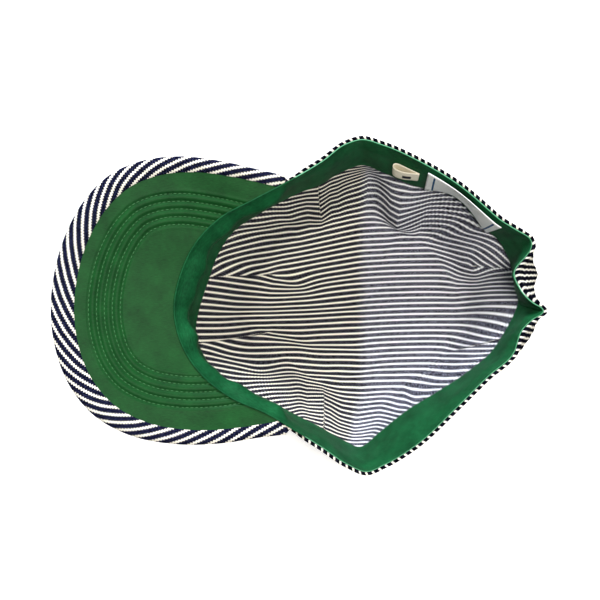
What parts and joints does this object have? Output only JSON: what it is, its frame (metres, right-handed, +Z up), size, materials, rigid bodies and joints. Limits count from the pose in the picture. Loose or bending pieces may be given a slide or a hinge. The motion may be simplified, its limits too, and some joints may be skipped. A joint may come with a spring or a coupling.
{
  "type": "work cap",
  "caption": "Soft striped cotton work cap lying on its pleated crown, with a folded headband, green sweatband, stitched bill with bias-cut binding, gathered back and blank labels.",
  "frame": {"origin": "middle of the cap's box, on the surface that the flattened crown rests on", "axes": "+X towards the back of the cap, -X towards the bill, +Y towards the wearer's left side as the cap lies, +Z up, out of the head opening"},
  "size_m": [0.2694, 0.1868, 0.0843],
  "materials": {
    "hickory_cloth": "navy and ecru hickory-stripe cotton twill, matt",
    "hickory_bias": "the same hickory stripe cut on the bias, softly padded",
    "green_satin": "green cotton satin with a low sheen",
    "label_cloth": "white woven label tape"
  },
  "bodies": {
    "root": {"crown": "hickory_cloth", "headband": "hickory_cloth", "sweatband": "green_satin", "bill_upper": "hickory_cloth", "bill_binding": "hickory_bias", "bill_lining": "green_satin", "woven_label": "label_cloth", "size_label": "label_cloth"}
  },
  "joints": []
}
